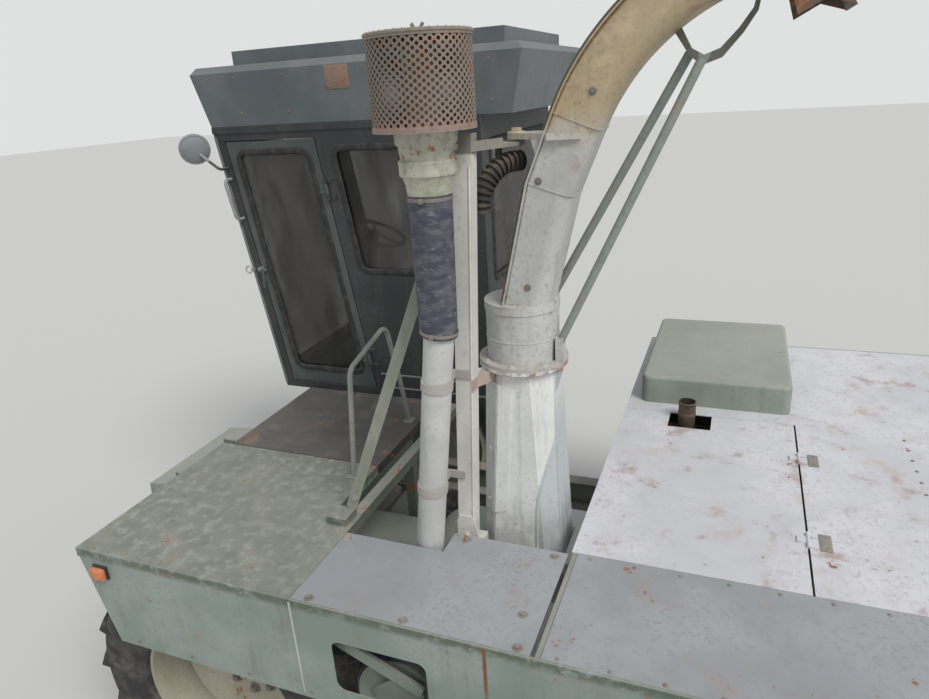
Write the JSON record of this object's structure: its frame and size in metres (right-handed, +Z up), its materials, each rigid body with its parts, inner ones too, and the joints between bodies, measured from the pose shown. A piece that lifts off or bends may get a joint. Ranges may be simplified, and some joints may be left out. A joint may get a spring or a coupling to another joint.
{
  "type": "forage harvester",
  "caption": "Self-propelled forage harvester without header: cab, turning discharge spout, feed rolls, drive wheels in front, steered wheels behind, engine deck with lid.",
  "frame": {"origin": "on the ground below the middle of the machine's bounding box", "axes": "+X to the machine's left, +Y to its rear, +Z up"},
  "size_m": [3.014, 5.1998, 3.5399],
  "materials": {
    "frame_paint": "worn dull paint",
    "engine_iron": "oily cast iron",
    "body_paint": "faded pale green paint, dusty",
    "deck_paint": "faded grey paint with rust bloom",
    "cab_paint": "dull grey-blue paint",
    "spout_paint": "faded green paint with yellow and pink patches",
    "rusty_screen": "beige paint with rust",
    "dark_steel": "dark bare steel",
    "rubber_black": "dusty rubber",
    "tyre_rubber": "dusty tyre",
    "rim_paint": "dull cream paint",
    "window_glass": "dusty glass",
    "seat_cover": "black worn cover",
    "black_plastic": "black plastic",
    "orange_lens": "orange lens"
  },
  "bodies": {
    "root": {"main_frame": "frame_paint", "deck_beams": "frame_paint", "front_axle": "frame_paint", "rear_axle": "frame_paint", "engine_block": "engine_iron", "feed_housing": "body_paint", "chopper_housing": "body_paint", "blower_housing": "body_paint", "discharge_tower": "body_paint", "tower_post": "body_paint", "ribbed_elbow": "rubber_black", "intake_pipe": "body_paint", "intake_sleeve": "rubber_black", "intake_screen": "rusty_screen", "left_fender": "body_paint", "right_fender": "body_paint", "left_belt_panel": "body_paint", "left_rear_panel": "body_paint", "right_panel": "body_paint", "rear_panel": "body_paint", "deck_plates": "deck_paint", "hood_plates": "deck_paint", "cooler_box": "body_paint", "exhaust_pipe": "dark_steel", "belt_drive": "dark_steel", "drive_belt": "rubber_black", "platform": "deck_paint", "handrail": "body_paint", "ladder": "frame_paint", "cab_shell": "cab_paint", "cab_glass": "window_glass", "cab_roof": "cab_paint", "seat": "seat_cover", "steering_column": "black_plastic", "mirror": "black_plastic", "lamps": "orange_lens"},
    "front_wheel_left": {"front_tyre_left": "tyre_rubber", "front_rim_left": "rim_paint"},
    "front_wheel_right": {"front_tyre_right": "tyre_rubber", "front_rim_right": "rim_paint"},
    "knuckle_left": {"knuckle_left": "frame_paint"},
    "knuckle_right": {"knuckle_right": "frame_paint"},
    "rear_wheel_left": {"rear_tyre_left": "tyre_rubber", "rear_rim_left": "rim_paint"},
    "rear_wheel_right": {"rear_tyre_right": "tyre_rubber", "rear_rim_right": "rim_paint"},
    "tie_rod": {"tie_rod": "dark_steel"},
    "cab_door": {"cab_door": "cab_paint", "door_glass": "window_glass"},
    "spout": {"spout": "spout_paint", "spout_cover": "dark_steel"},
    "spout_flap": {"spout_flap": "rusty_screen"},
    "hood_lid": {"hood_lid": "deck_paint"},
    "feed_roll_lower": {"feed_roll_lower": "dark_steel"},
    "feed_roll_upper": {"feed_roll_upper": "dark_steel"}
  },
  "joints": [
    {"name": "front_wheel_left_spin", "type": "hinge", "parent": "root", "child": "front_wheel_left", "pos_m": [1.195, -1.25, 0.67], "axis": [1, 0, 0], "continuous": true},
    {"name": "front_wheel_right_spin", "type": "hinge", "parent": "root", "child": "front_wheel_right", "pos_m": [-1.195, -1.25, 0.67], "axis": [1, 0, 0], "continuous": true},
    {"name": "steer_left", "type": "hinge", "parent": "root", "child": "knuckle_left", "pos_m": [0.8, 1.38, 0.47], "axis": [0, 0, 1], "range_deg": [-38, 38]},
    {"name": "steer_right", "type": "hinge", "parent": "root", "child": "knuckle_right", "pos_m": [-0.8, 1.38, 0.47], "axis": [0, 0, 1], "range_deg": [-38, 38]},
    {"name": "rear_wheel_left_spin", "type": "hinge", "parent": "knuckle_left", "child": "rear_wheel_left", "pos_m": [1.08, 1.38, 0.47], "axis": [1, 0, 0], "continuous": true},
    {"name": "rear_wheel_right_spin", "type": "hinge", "parent": "knuckle_right", "child": "rear_wheel_right", "pos_m": [-1.08, 1.38, 0.47], "axis": [1, 0, 0], "continuous": true},
    {"name": "tie_rod_swing", "type": "hinge", "parent": "knuckle_left", "child": "tie_rod", "pos_m": [0.8, 1.17, 0.354], "axis": [0, 0, 1], "range_deg": [-38, 38]},
    {"name": "cab_door_hinge", "type": "hinge", "parent": "root", "child": "cab_door", "pos_m": [-0.17, -1.192, 1.45], "axis": [0, -0.1454, 0.9894], "range_deg": [0, 85]},
    {"name": "spout_turn", "type": "hinge", "parent": "root", "child": "spout", "pos_m": [0.65, -0.045, 2.11], "axis": [0, 0, 1], "range_deg": [-40, 90]},
    {"name": "spout_flap_tilt", "type": "hinge", "parent": "spout", "child": "spout_flap", "pos_m": [0.65, 0.75183, 3.5229], "axis": [1, 0, 0], "range_deg": [-12, 55]},
    {"name": "hood_lid_hinge", "type": "hinge", "parent": "root", "child": "hood_lid", "pos_m": [0.31, 1.024, 1.457], "axis": [-1, 0, 0], "range_deg": [0, 100]},
    {"name": "feed_roll_lower_spin", "type": "hinge", "parent": "root", "child": "feed_roll_lower", "pos_m": [0, -2.33, 0.52], "axis": [1, 0, 0], "continuous": true},
    {"name": "feed_roll_upper_spin", "type": "hinge", "parent": "root", "child": "feed_roll_upper", "pos_m": [0, -2.33, 0.79], "axis": [1, 0, 0], "continuous": true}
  ],
  "couplings": [
    {"joint": "steer_right", "follows": "steer_left", "ratio": 1},
    {"joint": "tie_rod_swing", "follows": "steer_left", "ratio": -1}
  ]
}
